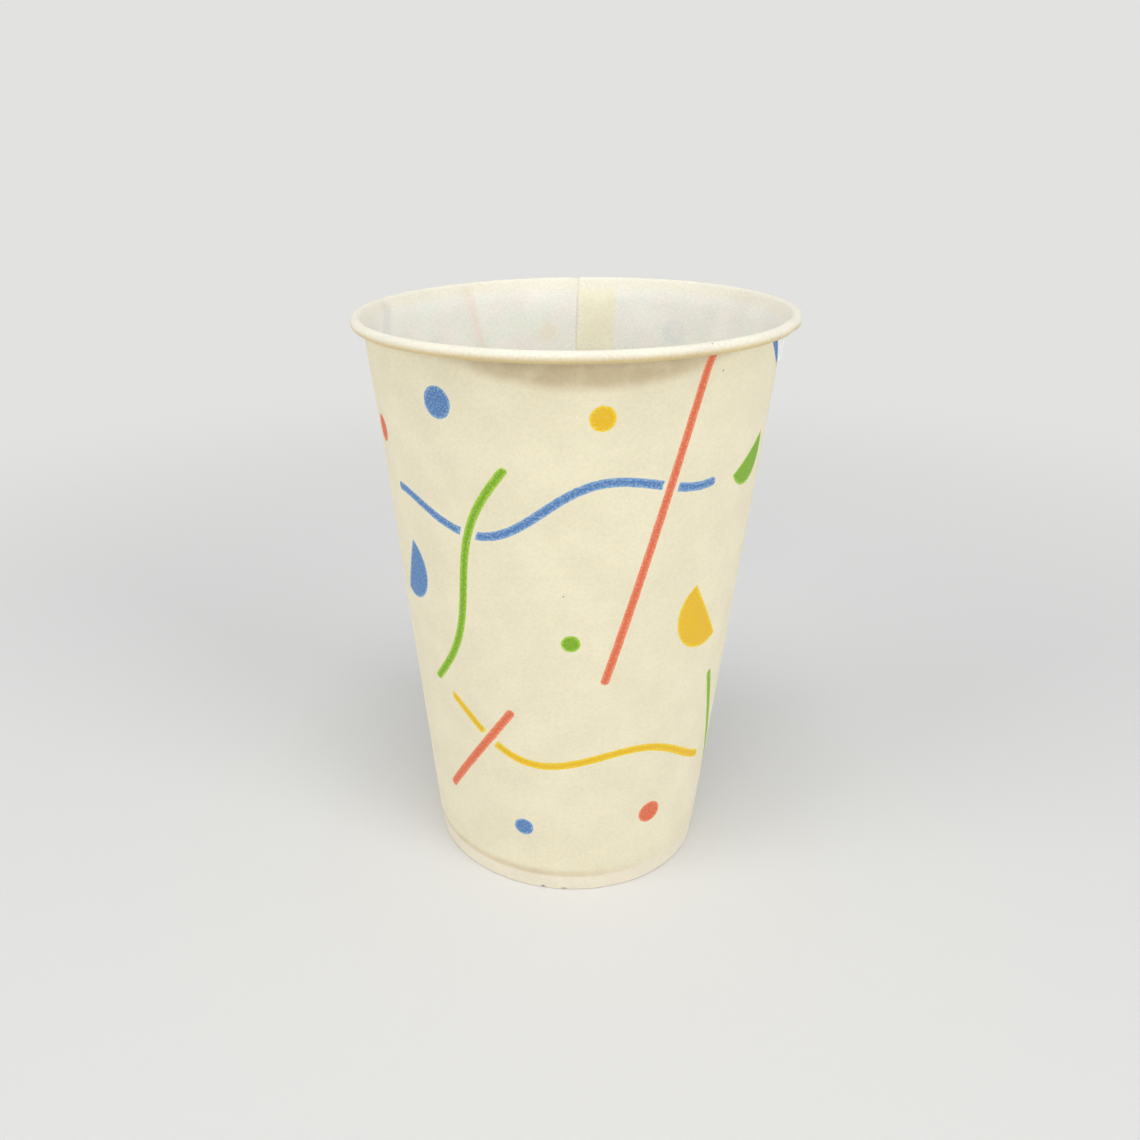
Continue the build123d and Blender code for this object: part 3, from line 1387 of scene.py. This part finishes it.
    def _ribs(self, azimuth: Field, length: Field) -> Field:
        """Height of the ribs that the tool has pressed into the hem, inside the foot."""
        wave = (azimuth * math.radians(self.ribs_per_turn)).math("SINE") * self.rib_height
        return wave * (-length).climb(*self.rib_zone)


@dataclass(frozen=True, kw_only=True)
class PlainPaper(WaxedPaper):
    """The same cupstock without print. It gives the eye an even cream, a little duller."""

    cream: str = "EFE8D2"
    cloud: Mottle = Mottle(7.0, 3.0, 0.3, 0.7)
    fibre: Mottle = Mottle(0.45, 3.0, 0.3, 0.75)
    pulp_share: float = 0.05
    full: float = 1.02

    def build(self) -> bpy.types.Material:
        """Makes the material.

        Returns:
            The material.
        """
        g = Finish("waxed_plain_paper")
        place = g.add("ShaderNodeTexCoord").outputs["Object"]
        scale = {0: place, 1: (1 / MM,) * 3}
        point = g.add("ShaderNodeVectorMath", scale, operation="MULTIPLY").outputs[0]
        pulp = (self.cloud.on(g, point) + self.fibre.on(g, point)) * self.pulp_share
        g.feed(g.shader, {"Base Color": self._shaded(g, self.cream, pulp, self.full)})
        self._coat(g)
        self._raise(g, self._relief(g, point))
        return g.material


# Stage


@dataclass(frozen=True)
class SoftLamp:
    """One square lamp, in metres and watts."""

    name: str
    place: Triple
    target_height: float
    size: float
    power: float

    def build(self) -> None:
        """Hangs the lamp and turns it to the cup's axis."""
        data = bpy.data.lights.new(self.name, "AREA")
        data.size = self.size
        data.energy = self.power
        lamp = bpy.data.objects.new(self.name, data)
        lamp.location = self.place
        way = Vector((0, 0, self.target_height)) - Vector(self.place)
        lamp.rotation_euler = way.to_track_quat("-Z", "Y").to_euler()
        bpy.context.scene.collection.objects.link(lamp)


@dataclass(frozen=True)
class PhotoCamera:
    """Camera that took the photograph, in millimetres, degrees and its own pixels."""

    place: Triple = (29.67, -198.5, 144.05)
    yaw: float = -14.611
    pitch: float = 20.958
    roll: float = -1.502
    focal_pixels: float = 1062.1
    axis_pixels: Pair = (462.6, 528.1)
    image_pixels: float = 1140.0
    sensor: float = 36.0
    clip_start: float = 0.01

    def _matrix(self) -> Matrix:
        """Works out where the camera stands and how it is turned.

        Returns:
            The camera's matrix in metres.
        """
        yaw, pitch, roll = (math.radians(a) for a in (self.yaw, self.pitch, self.roll))
        level = math.cos(pitch)
        ahead = Vector((math.sin(yaw) * level, math.cos(yaw) * level, -math.sin(pitch)))
        right = Vector((math.cos(yaw), -math.sin(yaw), 0))
        up = right.cross(ahead)
        tilted_right = right * math.cos(roll) + up * math.sin(roll)
        tilted_up = up * math.cos(roll) - right * math.sin(roll)
        turn = Matrix((tilted_right, tilted_up, -ahead)).transposed().to_4x4()
        return Matrix.Translation(Vector(self.place) * MM) @ turn

    def build(self) -> None:
        """Sets up the camera and makes it the scene's own."""
        data = bpy.data.cameras.new("photo_view")
        data.sensor_fit = "HORIZONTAL"
        data.sensor_width = self.sensor
        data.lens = self.focal_pixels / self.image_pixels * self.sensor
        data.shift_x = 0.5 - self.axis_pixels[0] / self.image_pixels
        data.shift_y = self.axis_pixels[1] / self.image_pixels - 0.5
        data.clip_start = self.clip_start
        camera = bpy.data.objects.new("photo_view", data)
        camera.matrix_world = self._matrix()
        bpy.context.scene.collection.objects.link(camera)
        bpy.context.scene.camera = camera


@dataclass(frozen=True)
class Studio:
    """Pale floor, even light from all round, soft lamps and the camera."""

    camera: PhotoCamera = PhotoCamera()
    lamps: tuple[SoftLamp, ...] = (
        SoftLamp("overhead", (0.04, -0.34, 0.92), 0.08, 0.40, 2.45),
        SoftLamp("right", (0.80, -0.47, 0.42), 0.06, 0.50, 3.3),
        SoftLamp("left", (-0.74, -0.60, 0.44), 0.06, 0.50, 3.0),
    )
    backdrop: str = "E2E2E0"
    floor: str = "DEDEDC"
    light: str = "F6F7FA"
    floor_reach: float = 6.0
    floor_fade: Pair = (0.10, 0.42)
    sky_climb: Pair = (-0.4, 1.0)
    sky_gain: float = 0.59
    sky_least: float = 0.12

    def build(self) -> None:
        """Makes everything round the object."""
        self._floor()
        self._world()
        for lamp in self.lamps:
            lamp.build()
        self.camera.build()
        LOG.info("studio with %d lamps", len(self.lamps))

    def _floor(self) -> None:
        """Lays a matte floor, which fades into the backdrop's colour away from the object."""
        reach = self.floor_reach
        points = [(x * reach, y * reach, 0.0) for x, y in ((-1, -1), (1, -1), (1, 1), (-1, 1))]
        mesh = bpy.data.meshes.new("floor")
        mesh.from_pydata(points, [], [(0, 1, 2, 3)])
        floor = bpy.data.objects.new("floor", mesh)
        bpy.context.scene.collection.objects.link(floor)
        graph = Finish("matte_floor")
        graph.feed(graph.shader, {"Base Color": self.floor, "Roughness": 0.9})
        place = graph.add("ShaderNodeTexCoord").outputs["Object"]
        away = graph.add("ShaderNodeVectorMath", {0: place}, operation="LENGTH").outputs["Value"]
        seen = Field(graph, graph.add("ShaderNodeLightPath").outputs["Is Camera Ray"])
        share = Field(graph, away).climb(*self.floor_fade) * seen
        glow = graph.add("ShaderNodeEmission", {"Color": self.backdrop, "Strength": 1.0})
        inputs = {0: share, 1: graph.shader.outputs[0], 2: glow.outputs[0]}
        mixed = graph.add("ShaderNodeMixShader", inputs)
        graph.feed(graph.tree.nodes["Material Output"], {"Surface": mixed.outputs[0]})
        mesh.materials.append(graph.material)

    def _world(self) -> None:
        """Lights from all round, most from above, behind a plain backdrop."""
        world = bpy.data.worlds.new("even_light")
        world.use_nodes = True
        graph = Graph(world.node_tree)
        way = graph.add("ShaderNodeTexCoord").outputs["Generated"]
        height = graph.add("ShaderNodeSeparateXYZ", {0: way}).outputs["Z"]
        strength = Field(graph, height).climb(*self.sky_climb)
        strength = strength.scaled(self.sky_gain, self.sky_least)
        light = graph.add("ShaderNodeBackground", {"Color": self.light, "Strength": strength})
        shown = graph.add("ShaderNodeBackground", {"Color": self.backdrop, "Strength": 1.0})
        seen = graph.add("ShaderNodeLightPath").outputs["Is Camera Ray"]
        inputs = {0: seen, 1: light.outputs[0], 2: shown.outputs[0]}
        mixed = graph.add("ShaderNodeMixShader", inputs)
        graph.feed(graph.tree.nodes["World Output"], {"Surface": mixed.outputs[0]})
        bpy.context.scene.world = world


def main() -> None:
    """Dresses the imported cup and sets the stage."""
    logging.basicConfig(level=logging.INFO, format="%(name)s: %(message)s")
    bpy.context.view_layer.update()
    sizes = CupSizes.from_solids()
    LOG.info("height %.2f mm, rim radius %.2f mm", sizes.height, sizes.rim_radius)
    for maker in (SideWall(sizes), BottomDisc(sizes)):
        maker.dress(maker.build())
    Studio().build()
    bpy.context.scene.view_settings.view_transform = "Standard"
    LOG.info("sizes written")


if __name__ == "__main__":
    main()
